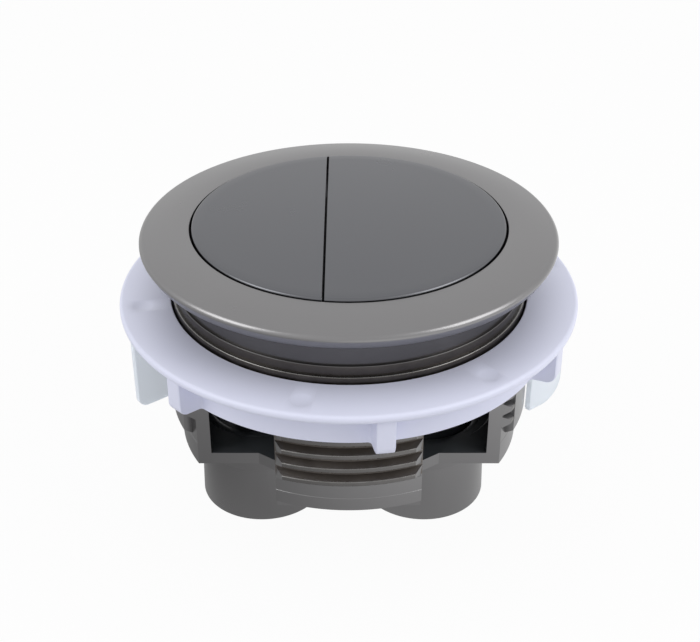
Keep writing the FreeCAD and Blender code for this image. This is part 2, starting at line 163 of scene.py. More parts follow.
# Cloudy tone over a colour, and the same clouds as a roughness
def makeToneGroup():
    group = bpy.data.node_groups.new("mouldedTone", "ShaderNodeTree")
    for name, kind in (("Light", "NodeSocketColor"), ("Dark", "NodeSocketColor"),
                       ("Clouds", "NodeSocketFloat"), ("Rough Low", "NodeSocketFloat"),
                       ("Rough High", "NodeSocketFloat")):
        group.interface.new_socket(name=name, in_out="INPUT", socket_type=kind)
    group.interface.new_socket(name="Color", in_out="OUTPUT", socket_type="NodeSocketColor")
    group.interface.new_socket(name="Roughness", in_out="OUTPUT", socket_type="NodeSocketFloat")
    nodes, links = group.nodes, group.links
    source = nodes.new("NodeGroupInput")
    target = nodes.new("NodeGroupOutput")
    coordinate = nodes.new("ShaderNodeTexCoord")
    noise = nodes.new("ShaderNodeTexNoise")
    noise.inputs["Detail"].default_value = 4
    noise.inputs["Roughness"].default_value = 0.6
    mix = nodes.new("ShaderNodeMix")
    mix.data_type = "RGBA"
    spread = nodes.new("ShaderNodeMapRange")
    spread.inputs["From Min"].default_value = 0.3
    spread.inputs["From Max"].default_value = 0.7
    links.new(coordinate.outputs["Object"], noise.inputs["Vector"])
    links.new(source.outputs["Clouds"], noise.inputs["Scale"])
    links.new(noise.outputs["Fac"], mix.inputs["Factor"])
    links.new(source.outputs["Dark"], mix.inputs[6])
    links.new(source.outputs["Light"], mix.inputs[7])
    links.new(mix.outputs[2], target.inputs["Color"])
    links.new(noise.outputs["Fac"], spread.inputs["Value"])
    links.new(source.outputs["Rough Low"], spread.inputs["To Min"])
    links.new(source.outputs["Rough High"], spread.inputs["To Max"])
    links.new(spread.outputs["Result"], target.inputs["Roughness"])
    return group


# Fine speckle of a moulded or plated skin, as a height for a bump
def makeGrainGroup():
    group = bpy.data.node_groups.new("skinGrain", "ShaderNodeTree")
    group.interface.new_socket(name="Fine", in_out="INPUT", socket_type="NodeSocketFloat")
    group.interface.new_socket(name="Coarse", in_out="INPUT", socket_type="NodeSocketFloat")
    group.interface.new_socket(name="Height", in_out="OUTPUT", socket_type="NodeSocketFloat")
    nodes, links = group.nodes, group.links
    source = nodes.new("NodeGroupInput")
    target = nodes.new("NodeGroupOutput")
    coordinate = nodes.new("ShaderNodeTexCoord")
    fine = nodes.new("ShaderNodeTexNoise")
    fine.inputs["Detail"].default_value = 2
    coarse = nodes.new("ShaderNodeTexNoise")
    coarse.inputs["Detail"].default_value = 1
    add = nodes.new("ShaderNodeMath")
    add.operation = "ADD"
    for noise, key in ((fine, "Fine"), (coarse, "Coarse")):
        links.new(coordinate.outputs["Object"], noise.inputs["Vector"])
        links.new(source.outputs[key], noise.inputs["Scale"])
    links.new(fine.outputs["Fac"], add.inputs[0])
    links.new(coarse.outputs["Fac"], add.inputs[1])
    links.new(add.outputs["Value"], target.inputs["Height"])
    return group


toneGroup = makeToneGroup()
grainGroup = makeGrainGroup()


def skinMaterial(name, look):
    material = bpy.data.materials.new(name)
    material.use_nodes = True
    tree = material.node_tree
    shader = tree.nodes["Principled BSDF"]
    tone = groupNode(tree, toneGroup, {
        "Light": (*look["light"], 1), "Dark": (*look["dark"], 1), "Clouds": look["clouds"],
        "Rough Low": look["rough"][0], "Rough High": look["rough"][1],
    })
    grain = groupNode(tree, grainGroup, {"Fine": look["fine"], "Coarse": look["coarse"]})
    bump = tree.nodes.new("ShaderNodeBump")
    bump.inputs["Strength"].default_value = look["bump"]
    bump.inputs["Distance"].default_value = look["depth"]
    tree.links.new(tone.outputs["Color"], shader.inputs["Base Color"])
    tree.links.new(tone.outputs["Roughness"], shader.inputs["Roughness"])
    tree.links.new(grain.outputs["Height"], bump.inputs["Height"])
    tree.links.new(bump.outputs["Normal"], shader.inputs["Normal"])
    shader.inputs["Metallic"].default_value = look.get("metallic", 0.0)
    shader.inputs["Transmission Weight"].default_value = look.get("transmission", 0.0)
    shader.inputs["IOR"].default_value = look.get("ior", 1.5)
    # A glow, where a look has one, is painted light; only the wings have one
    shader.inputs["Emission Color"].default_value = (*look["light"], 1)
    shader.inputs["Emission Strength"].default_value = look.get("glow", 0)
    return material


# Plated greys: the outside, darker copies as painted shade on the neck, the thread's lands, the
# collar and the grooves, and a painted highlight on the crests
platedLook = {
    "light": (0.244, 0.242, 0.246), "dark": (0.228, 0.224, 0.227), "clouds": 60.0,
    "rough": (0.27, 0.33), "fine": 9000.0, "coarse": 2500.0, "bump": 0.10, "depth": 0.00002,
    "metallic": 1.0,
}
# Painted shade under the rim: the neck's plated grey made darker
neckShadeLook = {
    "light": (0.132, 0.128, 0.128), "dark": (0.112, 0.109, 0.107), "clouds": 50.0,
    "rough": (0.26, 0.34), "fine": 9000.0, "coarse": 2500.0, "bump": 0.12, "depth": 0.00002,
    "metallic": 1.0,
}
# Painted shade under the nut: the thread's lands darker than the plated grey
landShadeLook = {
    "light": (0.172, 0.166, 0.164), "dark": (0.136, 0.131, 0.128), "clouds": 500.0,
    "rough": (0.28, 0.4), "fine": 9000.0, "coarse": 2500.0, "bump": 0.1, "depth": 0.00002,
    "metallic": 1.0,
}
# Painted shade under the rim, just above the nut: the collar darker still
collarShadeLook = {
    "light": (0.1, 0.092, 0.086), "dark": (0.06, 0.054, 0.05), "clouds": 300.0,
    "rough": (0.3, 0.42), "fine": 9000.0, "coarse": 2500.0, "bump": 0.1, "depth": 0.00002,
    "metallic": 1.0,
}
# Painted shade in the thread's grooves and on the tongues' flanks
grooveShadeLook = {
    "light": (0.2, 0.182, 0.168), "dark": (0.12, 0.109, 0.1), "clouds": 140.0,
    "rough": (0.34, 0.46), "fine": 6000.0, "coarse": 1500.0, "bump": 0.2, "depth": 0.00003,
    "metallic": 1.0,
}
# Painted highlight on the thread's crest edges, the ledge under the collar and the spigots' upper
# edges
edgeHighlightLook = {
    "light": (0.24, 0.234, 0.228), "dark": (0.104, 0.102, 0.099), "clouds": 900.0,
    "rough": (0.22, 0.34), "fine": 6000.0, "coarse": 1500.0, "bump": 0.2, "depth": 0.00003,
    "metallic": 1.0,
}
# Painted highlight along the split edge of the small cap
capEdgeHighlightLook = {
    "light": (0.264, 0.264, 0.276), "dark": (0.224, 0.224, 0.236), "clouds": 200.0,
    "rough": (0.25, 0.32), "fine": 9000.0, "coarse": 2500.0, "bump": 0.08, "depth": 0.00002,
    "metallic": 1.0,
}
capLook = {
    "light": (0.141, 0.144, 0.153), "dark": (0.132, 0.134, 0.145), "clouds": 50.0,
    "rough": (0.27, 0.32), "fine": 9000.0, "coarse": 2500.0, "bump": 0.08, "depth": 0.00002,
    "metallic": 1.0,
}
innerLook = {
    "light": (0.065, 0.071, 0.077), "dark": (0.04, 0.045, 0.049), "clouds": 90.0,
    "rough": (0.28, 0.36), "fine": 6000.0, "coarse": 1500.0, "bump": 0.1, "depth": 0.00002,
}
nutLook = {
    "light": (0.775, 0.795, 0.955), "dark": (0.75, 0.77, 0.93), "clouds": 70.0,
    "rough": (0.36, 0.46), "fine": 4000.0, "coarse": 700.0, "bump": 0.10, "depth": 0.00004,
}
# The wings are thin enough to let some light through, as their transmission does; their glow is
# painted light that lifts their shaded faces
wingLook = {
    "light": (0.72, 0.755, 0.80), "dark": (0.695, 0.73, 0.775), "clouds": 120.0,
    "rough": (0.3, 0.38), "fine": 4000.0, "coarse": 700.0, "bump": 0.10, "depth": 0.00004,
    "transmission": 0.4, "ior": 1.25, "glow": 0.22,
}
wireLook = {
    "light": (0.496, 0.496, 0.504), "dark": (0.4, 0.4, 0.408), "clouds": 400.0,
    "rough": (0.2, 0.34), "fine": 9000.0, "coarse": 3000.0, "bump": 0.15, "depth": 0.00002,
    "metallic": 1.0,
}

platedGrey = skinMaterial("platedGrey", platedLook)
neckShadeGrey = skinMaterial("neckShadeGrey", neckShadeLook)
grooveShadeGrey = skinMaterial("grooveShadeGrey", grooveShadeLook)
landShadeGrey = skinMaterial("landShadeGrey", landShadeLook)
collarShadeGrey = skinMaterial("collarShadeGrey", collarShadeLook)
edgeHighlightGrey = skinMaterial("edgeHighlightGrey", edgeHighlightLook)
capGrey = skinMaterial("capGrey", capLook)
capEdgeHighlightGrey = skinMaterial("capEdgeHighlightGrey", capEdgeHighlightLook)
innerBlack = skinMaterial("innerBlack", innerLook)
nutWhite = skinMaterial("nutWhite", nutLook)
wingWhite = skinMaterial("wingWhite", wingLook)
springWire = skinMaterial("springWire", wireLook)
print("materials made")


# Housing: bezel, neck, collar, threaded body, floor and leg tubes

housing = {
    "legLength": 15.7, "legRadius": 10.9, "legFootRadius": 11.2, "legFloor": 2.0,
    "legCollarRadius": 11.2, "legCollarBase": 11.1, "legEdge": 0.12, "legSteps": 160,
    "wellRadius": 9.0, "stemHole": 5.2, "spigotRadius": 10.4, "spigotHole": 10.45,
    "spigotEdge": 0.25, "smallLegX": -15.6, "largeLegX": 13.4,
    "smallSpigotTop": 17.9, "largeSpigotTop": 16.3, "holeSteps": 96,
    "counterboreRadius": 12.0, "counterboreDepth": 1.0, "counterboreChamfer": 0.3,
    "floorTop": 17.9, "bodyRadius": 29.5, "bodyBore": 27.6, "bodySteps": 256,
    "collarBase": 43.05, "collarRadius": 29.0, "collarLowerRound": 0.22,
    "neckBase": 44.7, "neckRadius": 28.6, "neckBore": 27.0,
    "collarUpperRound": 0.12, "neckTopRound": 0.3,
    "rimUnderside": 50.5, "rimFootRadius": 33.2, "rimFootRound": 0.35,
    "rimRadius": 34.3, "rimShoulder": 52.4, "rimShoulderRound": 0.35,
    "rimTopRadius": 33.8, "rimTop": 53.1, "rimTopRound": 0.3,
    "openingTop": 54.0, "openingRadius": 26.0, "openingRound": 0.2, "lipUnderside": 50.7,
    "windowSide": 15.0, "windowCorner": 15.2, "windowTop": 36.1, "tongueHalf": 11.6,
    "gusset": 17.5, "grooveLow": 23.2, "cutEdgeRound": 0.25,
    "toeHeight": 1.95, "toeDepth": 3.6, "toeLine": 20.0, "toeStep": 0.04,
}


def makeShell():
    s = housing
    bm = bmesh.new()
    ringProfile(bm, [
        (0, s["legLength"]),
        (s["bodyRadius"], s["legLength"]),
        (s["bodyRadius"], s["toeLine"] - s["toeStep"]),
        (s["bodyRadius"] - s["toeStep"], s["toeLine"]),
        (s["bodyRadius"] - s["toeStep"], s["grooveLow"]),
        (s["bodyRadius"], s["grooveLow"]),
        (s["bodyRadius"], bodyThread["padHigh"]),
        (s["bodyRadius"], s["collarBase"]),
        (s["collarRadius"], s["collarBase"]),
        (s["collarRadius"], s["neckBase"]),
        (s["neckRadius"], s["neckBase"]),
        (s["neckRadius"], s["rimUnderside"]),
        (s["rimFootRadius"], s["rimUnderside"]),
        (s["rimRadius"], s["rimShoulder"]),
        (s["rimTopRadius"], s["rimTop"]),
        (s["openingRadius"], s["openingTop"]),
        (s["openingRadius"], s["lipUnderside"]),
        (s["neckBore"], s["lipUnderside"]),
        (s["neckBore"], s["collarBase"]),
        (s["bodyBore"], s["collarBase"]),
        (s["bodyBore"], s["floorTop"]),
        (0, s["floorTop"]),
    ], steps=s["bodySteps"])
    for radius, height, size in (
        ("bodyRadius", "collarBase", "collarLowerRound"),
        ("collarRadius", "neckBase", "collarUpperRound"),
        ("neckRadius", "rimUnderside", "neckTopRound"),
        ("rimFootRadius", "rimUnderside", "rimFootRound"),
        ("rimRadius", "rimShoulder", "rimShoulderRound"),
        ("rimTopRadius", "rimTop", "rimTopRound"),
        ("openingRadius", "openingTop", "openingRound"),
    ):
        roundRing(bm, s[radius], s[height], s[size])
    closeOutwards(bm)
    shell = meshObject("housingShell", bm)

    # Four windows through the wall, which leave a tongue at the front and the back
    bm = bmesh.new()
    far = s["rimRadius"]
    for sideX in (1, -1):
        for sideY in (1, -1):
            corners = [(s["tongueHalf"], s["gusset"]), (s["windowCorner"], s["windowSide"]),
                       (far, s["windowSide"]), (far, far), (s["tongueHalf"], far)]
            corners = [(x * sideX, y * sideY) for x, y in corners]
            prism(bm, corners, s["legLength"] - 1, s["windowTop"])
    closeOutwards(bm)
    cutAway(shell, meshObject("windowCutter", bm))

    # The tongues' toes end a little above the floor's underside
    bm = bmesh.new()
    inner = s["bodyRadius"] - s["toeDepth"]
    for sideY in (1, -1):
        corners = [(-far, inner * sideY), (far, inner * sideY),
                   (far, far * sideY), (-far, far * sideY)]
        prism(bm, corners, s["legLength"] - 1, s["legLength"] + s["toeHeight"])
    closeOutwards(bm)
    cutAway(shell, meshObject("toeCutter", bm))

    # Holes for the legs' spigots, and the recess round the large one
    bm = bmesh.new()
    for x in (s["smallLegX"], s["largeLegX"]):
        ringProfile(bm, [(0, s["legLength"] - 1), (s["spigotHole"], s["legLength"] - 1),
                         (s["spigotHole"], s["floorTop"] + 1), (0, s["floorTop"] + 1)],
                    s["holeSteps"], x)
    closeOutwards(bm)
    cutAway(shell, meshObject("spigotCutter", bm))
    bm = bmesh.new()
    step, chamfer = s["floorTop"] - s["counterboreDepth"], s["counterboreChamfer"]
    ringProfile(bm, [
        (0, step), (s["counterboreRadius"], step),
        (s["counterboreRadius"], s["floorTop"] - chamfer),
        (s["counterboreRadius"] + 2 * chamfer, s["floorTop"] + chamfer),
        (0, s["floorTop"] + chamfer),
    ], s["holeSteps"], s["largeLegX"])
    closeOutwards(bm)
    cutAway(shell, meshObject("counterboreCutter", bm))

    softenCutEdges(shell)
    resmooth(shell)
    looks = (platedGrey, innerBlack, neckShadeGrey, grooveShadeGrey, edgeHighlightGrey, collarShadeGrey)
    dress(shell, "body", looks, ("housing",))
    paintShell(shell)


# The upright outer edges of the two tongues are a little round
def softenCutEdges(shell):
    s = housing
    bm = bmesh.new()
    bm.from_mesh(shell.data)
    bmesh.ops.remove_doubles(bm, verts=bm.verts, dist=0.000002)

    def onOuterCorner(vert):
        x, y = abs(vert.co.x / mm), abs(vert.co.y / mm)
        onSide = abs(x - s["tongueHalf"]) < 0.01
        return onSide and abs(math.hypot(x, y) - s["bodyRadius"]) < s["toeStep"] + 0.02

    upright = [e for e in bm.edges if onOuterCorner(e.verts[0]) and onOuterCorner(e.verts[1])
               and abs(e.verts[0].co.z - e.verts[1].co.z) > 0.5 * mm]
    bmesh.ops.bevel(bm, geom=upright, offset=s["cutEdgeRound"] * mm, offset_type="OFFSET",
                    segments=3, profile=0.5, affect="EDGES", material=-1, clamp_overlap=True)
    bm.to_mesh(shell.data)
    bm.free()


# Slots: 0 plated, 1 black inside, 2 neck in painted shade, 3 painted shade in the thread's
# grooves, 4 painted highlight on edges, 5 collar in painted shade
def paintShell(shell):
    s = housing
    for face in shell.data.polygons:
        centre = face.center / mm
        radius = math.hypot(centre.x, centre.y)
        outward = (face.normal.x * centre.x + face.normal.y * centre.y) / max(radius, 0.001)
        inside = radius < s["bodyBore"] + slack["face"] and centre.z > s["legLength"] + 0.1
        inside = inside and centre.z < s["lipUnderside"] + 0.2
        if inside and (abs(face.normal.z) > 0.5 or outward < 0.02):
            face.material_index = 1
        # Painted shade on the neck under the rim
        elif (s["neckBase"] - 0.2 < centre.z < s["rimUnderside"] + 0.02
              and radius < s["neckRadius"] + 0.5):
            face.material_index = 2
        # Painted shade on the collar above the nut
        elif s["collarBase"] - 0.3 < centre.z < s["neckBase"] and outward > 0.9:
            face.material_index = 5
        # Painted shade in the tongues' grooves, and the collar's painted shade above the thread
        elif s["grooveLow"] < centre.z < s["neckBase"] and outward > 0.9:
            onTongue = abs(centre.x) < s["tongueHalf"] + 0.3
            aboveThread = centre.z > bodyThread["padHigh"]
            face.material_index = 5 if aboveThread else 3 if onTongue else 0
        # Painted highlight on the ledge under the collar
        elif (abs(centre.z - s["collarBase"]) < 0.2 and radius > s["collarRadius"]
              and face.normal.z > 0.2):
            face.material_index = 4


# Slots: 0 plated, 1 black inside, 2 painted highlight on the spigot's upper edge
def makeLeg(name, node, x, spigotTop):
    s = housing
    bm = bmesh.new()
    ringProfile(bm, [
        (s["stemHole"], 0), (s["legFootRadius"], 0), (s["legRadius"], s["legCollarBase"]),
        (s["legCollarRadius"], s["legCollarBase"]), (s["legCollarRadius"], s["legLength"]),
        (s["spigotRadius"], s["legLength"]), (s["spigotRadius"], spigotTop),
        (s["wellRadius"], spigotTop), (s["wellRadius"], s["legFloor"]),
        (s["stemHole"], s["legFloor"]),
    ], s["legSteps"], x)
    roundRing(bm, s["legFootRadius"], 0, s["legEdge"], x)
    roundRing(bm, s["legCollarRadius"], s["legCollarBase"], s["legEdge"], x)
    roundRing(bm, s["wellRadius"], spigotTop, s["spigotEdge"], x)
    roundRing(bm, s["spigotRadius"], spigotTop, s["spigotEdge"], x)
    closeOutwards(bm)
    smoothByAngle(bm)
    leg = meshObject(name, bm)
    for face in leg.data.polygons:
        centre = face.center / mm
        radius = math.hypot(centre.x - x, centre.y)
        if radius < s["spigotRadius"] + slack["face"] and centre.z > 0.5:
            # Painted highlight on the spigot's upper edge
            onEdge = radius > s["spigotRadius"] - 0.24 and centre.z > spigotTop - 0.24
            onEdge = onEdge and centre.z < s["floorTop"] - 0.5 and face.normal.z > 0.1
            face.material_index = 2 if onEdge else 1
    return dress(leg, "body", (platedGrey, innerBlack, edgeHighlightGrey), (node,))


def clipTo(bm, planes):
    for point, normal in planes:
        geometry = [*bm.verts, *bm.edges, *bm.faces]
        bmesh.ops.bisect_plane(bm, geom=geometry, plane_co=point, plane_no=normal,
                               clear_outer=True)


# Slots: 0 flanks, in painted shade on the tongues, 1 crest in painted shade, 2 painted highlight
# on the crest edges, 3 cut ends
def dressThread(name, bm, flankGrey):
    closeOutwards(bm)
    smoothByAngle(bm, 20)
    thread = meshObject(name, bm)
    crest = bodyThread["crest"] - slack["crest"]
    for face in thread.data.polygons:
        corners = [thread.data.vertices[i].co / mm for i in face.vertices]
        reach = [math.hypot(corner.x, corner.y) for corner in corners]
        centre = face.center / mm
        along = abs(face.normal.y * centre.x - face.normal.x * centre.y)
        if along / math.hypot(centre.x, centre.y) > 0.3:
            face.material_index = 3
        # Crests get the lands' painted shade
        elif min(reach) > crest:
            face.material_index = 1
        # Crest edges get a painted highlight
        elif max(reach) > crest and min(reach) > crest - bodyThread["crestSoft"]:
            face.material_index = 2
    return dress(thread, "body", (flankGrey, landShadeGrey, edgeHighlightGrey, platedGrey))


# Helical ridge with softened crest, cut where the windows interrupt the wall
def makeThread(name, planes, flankGrey):
    t = bodyThread
    bm = bmesh.new()
    sunk = t["root"] - t["sink"]
    landLow, landHigh = t["lowerFlank"], t["lowerFlank"] + t["crestLand"]
    whole = landHigh + t["upperFlank"]
    soft = t["crestSoft"]
    section = [(sunk, 0), (t["root"], 0), (t["crest"] - soft, landLow - soft * 0.7),
               (t["crest"], landLow + soft * 0.7), (t["crest"], landHigh - soft * 0.7),
               (t["crest"] - soft, landHigh + soft * 0.5), (t["root"], whole), (sunk, whole)]
    verts = [bm.verts.new((r, 0, z + t["start"])) for r, z in section]
    face = bm.faces.new(verts)
    turn = Matrix.Rotation(math.radians(t["startAngle"]), 3, "Z")
    bmesh.ops.rotate(bm, cent=(0, 0, 0), matrix=turn, verts=verts)
    steps = int(t["turns"] * t["stepsPerTurn"])
    bmesh.ops.spin(bm, geom=[face, *face.edges, *face.verts], cent=(0, 0, 0), axis=(0, 0, 1),
                   angle=2 * math.pi * steps / t["stepsPerTurn"], steps=steps,
                   dvec=(0, 0, t["pitch"] / t["stepsPerTurn"]), use_merge=False)
    clipTo(bm, planes)
    bmesh.ops.holes_fill(bm, edges=[e for e in bm.edges if e.is_boundary], sides=0)
    return dressThread(name, bm, flankGrey)


def makeThreads():
    s = housing
    side = s["windowSide"] - bodyThread["inset"]
    tongue = s["tongueHalf"] - bodyThread["inset"]
    cutX, cutY = bodyThread["endCut"]
    reach = math.sqrt(s["bodyRadius"] ** 2 - tongue ** 2)
    for name, sign in (("threadRight", 1), ("threadLeft", -1)):
        makeThread(name, [
            ((0, side, 0), (0, 1, 0)), ((0, -side, 0), (0, -1, 0)), ((0, 0, 0), (-sign, 0, 0)),
        ], platedGrey)
    # The tongues' flanks get the grooves' painted shade
    for name, sign in (("threadBack", 1), ("threadFront", -1)):
        makeThread(name, [
            ((tongue, 0, 0), (1, 0, 0)), ((-tongue, 0, 0), (-1, 0, 0)),
            ((0, 0, 0), (0, -sign, 0)),
            ((tongue, sign * reach, 0), (cutX, sign * cutY, 0)),
            ((-tongue, sign * reach, 0), (-cutX, sign * cutY, 0)),
        ], grooveShadeGrey)


# Smooth band across the thread on one side of the body
def makeSidePad(name, side):
    t = bodyThread
    bm = bmesh.new()
    sunk, crest = t["root"] - t["sink"], t["crest"] + t["padRaise"]
    section = [(sunk, t["padLow"]), (t["root"], t["padLow"]),
               (crest, t["padLow"] + t["lowerFlank"]), (crest, t["padHigh"] - t["upperFlank"]),
               (t["root"], t["padHigh"]), (sunk, t["padHigh"])]
    verts = [bm.verts.new((r, 0, z)) for r, z in section]
    face = bm.faces.new(verts)
    middle = 0 if side > 0 else 180
    turn = Matrix.Rotation(math.radians(middle - t["padSpan"] / 2), 3, "Z")
    bmesh.ops.rotate(bm, cent=(0, 0, 0), matrix=turn, verts=verts)
    bmesh.ops.spin(bm, geom=[face, *face.edges, *face.verts], cent=(0, 0, 0), axis=(0, 0, 1),
                   angle=math.radians(t["padSpan"]), steps=t["padSteps"], use_merge=False)
    bmesh.ops.holes_fill(bm, edges=[e for e in bm.edges if e.is_boundary], sides=0)
    closeOutwards(bm)
    smoothByAngle(bm, 20)
    return dress(meshObject(name, bm), "body", (platedGrey,))


makeShell()
makeLeg("smallLegTube", "small_leg_tube", housing["smallLegX"], housing["smallSpigotTop"])
makeLeg("largeLegTube", "large_leg_tube", housing["largeLegX"], housing["largeSpigotTop"])
makeThreads()
makeSidePad("sidePadRight", 1)
makeSidePad("sidePadLeft", -1)
print("housing made")


# Lock nut: flange, hub with grip lugs, slanted wings

nut = {
    "top": 42.1, "flangeRadius": 38.25, "flangeThickness": 1.45, "flangeRound": 0.65,
    "mouth": 29.8, "mouthRound": 0.25, "lip": 1.3, "bore": 31.1, "boreStep": 0.4, "boreRise": 0.2,
    "hubRadius": 33.6, "height": 8.1, "hubEdge": 0.4, "flangeSteps": 256, "hubSteps": 1440,
    "lugAngles": (44.5, 98.4, 153, 224.5, 278.4, 333), "lugReach": 4.0, "lugHalf": 1.45,
    "lugCorner": 0.3, "lugSide": 0.15, "lugFillet": 0.7, "lugBottomRound": 1.6,
    "lugBottomRise": 0.15,
    "wingTurn": 38.4, "wingOffset": 21.7, "wingInner": 22.9, "wingOuter": 30.4,
    "wingDrop": 24.0, "wingWidth": 1.2, "wingEdge": 0.18,
    "rightWingRound": 4.5, "leftWingRound": 1.8,
    "markAngles": (12, 78.3, 127.4, 192, 258.3, 307.4), "markRadius": 34.5,
    "markSize": 1.85, "markDepth": 0.3, "markSteps": 48, "markClear": 0.5,
}


def makeFlange():
    s = nut
    bm = bmesh.new()
    top, lip = s["top"], s["top"] - s["lip"]
    underside = top - s["flangeThickness"]
    step, foot = s["bore"] + s["boreStep"], underside - s["boreRise"]
    ringProfile(bm, [
        (s["mouth"], top), (s["flangeRadius"], top), (s["flangeRadius"], underside),
        (step, underside), (step, foot), (s["bore"], foot), (s["bore"], lip), (s["mouth"], lip),
    ], s["flangeSteps"])
    roundRing(bm, s["flangeRadius"], top, s["flangeRound"], segments=5)
    roundRing(bm, s["flangeRadius"], underside, s["flangeRound"], segments=5)
    roundRing(bm, s["mouth"], top, s["mouthRound"])
    closeOutwards(bm)
    flange = meshObject("nutFlange", bm)

    # Shallow round marks in the flange
    bm = bmesh.new()
    clear = top + s["markClear"]
    dish = [(s["markSize"] * k / 6, top - s["markDepth"] * (1 - (k / 6) ** 2)) for k in range(7)]
    for markAngle in s["markAngles"]:
        made = ringProfile(bm, dish + [(s["markSize"], clear), (0, clear)],
                           s["markSteps"], s["markRadius"])
        turn = Matrix.Rotation(math.radians(markAngle), 3, "Z")
        bmesh.ops.rotate(bm, cent=(0, 0, 0), matrix=turn, verts=made)
    closeOutwards(bm)
    cutAway(flange, meshObject("markCutter", bm))
    resmooth(flange, 25)
    return dress(flange, "nut", (nutWhite,), ("lock_nut",))


# How far the hub's outline stands out at an angle: lugs with upright sides and filleted roots
def lugProfile(angle, reach):
    s = nut
    turn = math.degrees(angle)
    offset = min(abs((turn - lug + 180) % 360 - 180) for lug in s["lugAngles"])
    across = math.radians(offset) * (s["hubRadius"] + s["lugReach"] / 2)
    corner, fillet = s["lugCorner"], min(s["lugFillet"], reach)
    past = across - (s["lugHalf"] - corner)
    if past <= 0:
        return reach
    if past <= corner:
        return max(reach - corner + math.sqrt(max(corner ** 2 - past ** 2, 0)), 0)
    past -= corner
    if past <= s["lugSide"]:
        share = past / s["lugSide"]
        return max(reach - corner, 0) * (1 - share) + fillet * share
    past -= s["lugSide"]
    return fillet - math.sqrt(max(fillet ** 2 - (fillet - past) ** 2, 0)) if past < fillet else 0


def makeHub():
    s = nut
    bm = bmesh.new()
    top = s["top"] - s["flangeThickness"] + 0.5
    bottom = s["top"] - s["height"]
    edge, rounding, lugBottom = s["hubEdge"], s["lugBottomRound"], bottom + s["lugBottomRise"]
    first = bmesh.ops.create_circle(bm, cap_ends=False, radius=s["bore"],
                                    segments=s["hubSteps"])["verts"]
    bmesh.ops.translate(bm, vec=(0, 0, top), verts=first)
    levels = [(bottom, s["bore"], 0), (bottom, s["hubRadius"] - edge, 0),
              (bottom + edge * 0.3, s["hubRadius"] - edge * 0.3, 0),
              (lugBottom, s["hubRadius"], 0)]
    for step in range(9):
        angle = math.pi / 2 * step / 8
        levels.append((lugBottom + rounding * (1 - math.cos(angle)), s["hubRadius"],
                       s["lugReach"] - rounding * (1 - math.sin(angle))))
    levels += [(top, s["hubRadius"], s["lugReach"]), (top, s["bore"], 0)]
    edges = list(bm.edges)
    for height, base, reach in levels:
        made = bmesh.ops.extrude_edge_only(bm, edges=edges)["geom"]
        edges = [g for g in made if isinstance(g, bmesh.types.BMEdge)]
        for vert in (g for g in made if isinstance(g, bmesh.types.BMVert)):
            angle = math.atan2(vert.co.y, vert.co.x)
            radius = base + (lugProfile(angle, reach) if reach else 0)
            vert.co = (radius * math.cos(angle), radius * math.sin(angle), height)
    bmesh.ops.remove_doubles(bm, verts=bm.verts, dist=slack["merge"])
    closeOutwards(bm)
    smoothByAngle(bm, 40)
    return dress(meshObject("nutHub", bm), "nut", (nutWhite,), ("lock_nut",))


def makeWing(name, side):
    s = nut
    bm = bmesh.new()
    low, high = s["top"] - s["wingDrop"], s["top"] - s["flangeThickness"] + 0.4
    middle = Vector(((s["wingInner"] + s["wingOuter"]) / 2, -s["wingOffset"], (low + high) / 2))
    verts = bmesh.ops.create_cube(bm, size=1)["verts"]
    extent = (s["wingOuter"] - s["wingInner"], s["wingWidth"], high - low)
    bmesh.ops.scale(bm, vec=extent, verts=verts)
    bmesh.ops.translate(bm, vec=middle, verts=verts)
    corner = [e for e in bm.edges
              if all(v.co.x > middle.x and v.co.z < middle.z for v in e.verts)]
    rounding = s["rightWingRound"] if side > 0 else s["leftWingRound"]
    bmesh.ops.bevel(bm, geom=corner, offset=rounding, offset_type="OFFSET", segments=12,
                    profile=0.5, affect="EDGES", material=-1, clamp_overlap=True)
    rims = [e for e in bm.edges if e.calc_face_angle(0) > 1.0]
    bmesh.ops.bevel(bm, geom=rims, offset=s["wingEdge"], offset_type="OFFSET", segments=3,
                    profile=0.5, affect="EDGES", material=-1, clamp_overlap=True)
    turn = math.radians(s["wingTurn"] + (0 if side > 0 else 180))
    bmesh.ops.rotate(bm, cent=(0, 0, 0), matrix=Matrix.Rotation(turn, 3, "Z"), verts=bm.verts)
    closeOutwards(bm)
    smoothByAngle(bm)
    return dress(meshObject(name, bm), "nut", (wingWhite,), ("lock_nut",))


makeFlange()
makeHub()
makeWing("nutWingRight", 1)
makeWing("nutWingLeft", -1)
print("nut made")


# Button caps

caps = {
    "rim": 54.3, "crown": 0.4, "plate": 2.0, "wall": 1.3, "depth": 7.6, "radius": 25.7,
    "splitX": -3.77, "splitGap": 0.4, "edgeRound": 0.4, "splitRound": 0.32, "steps": 256,
}


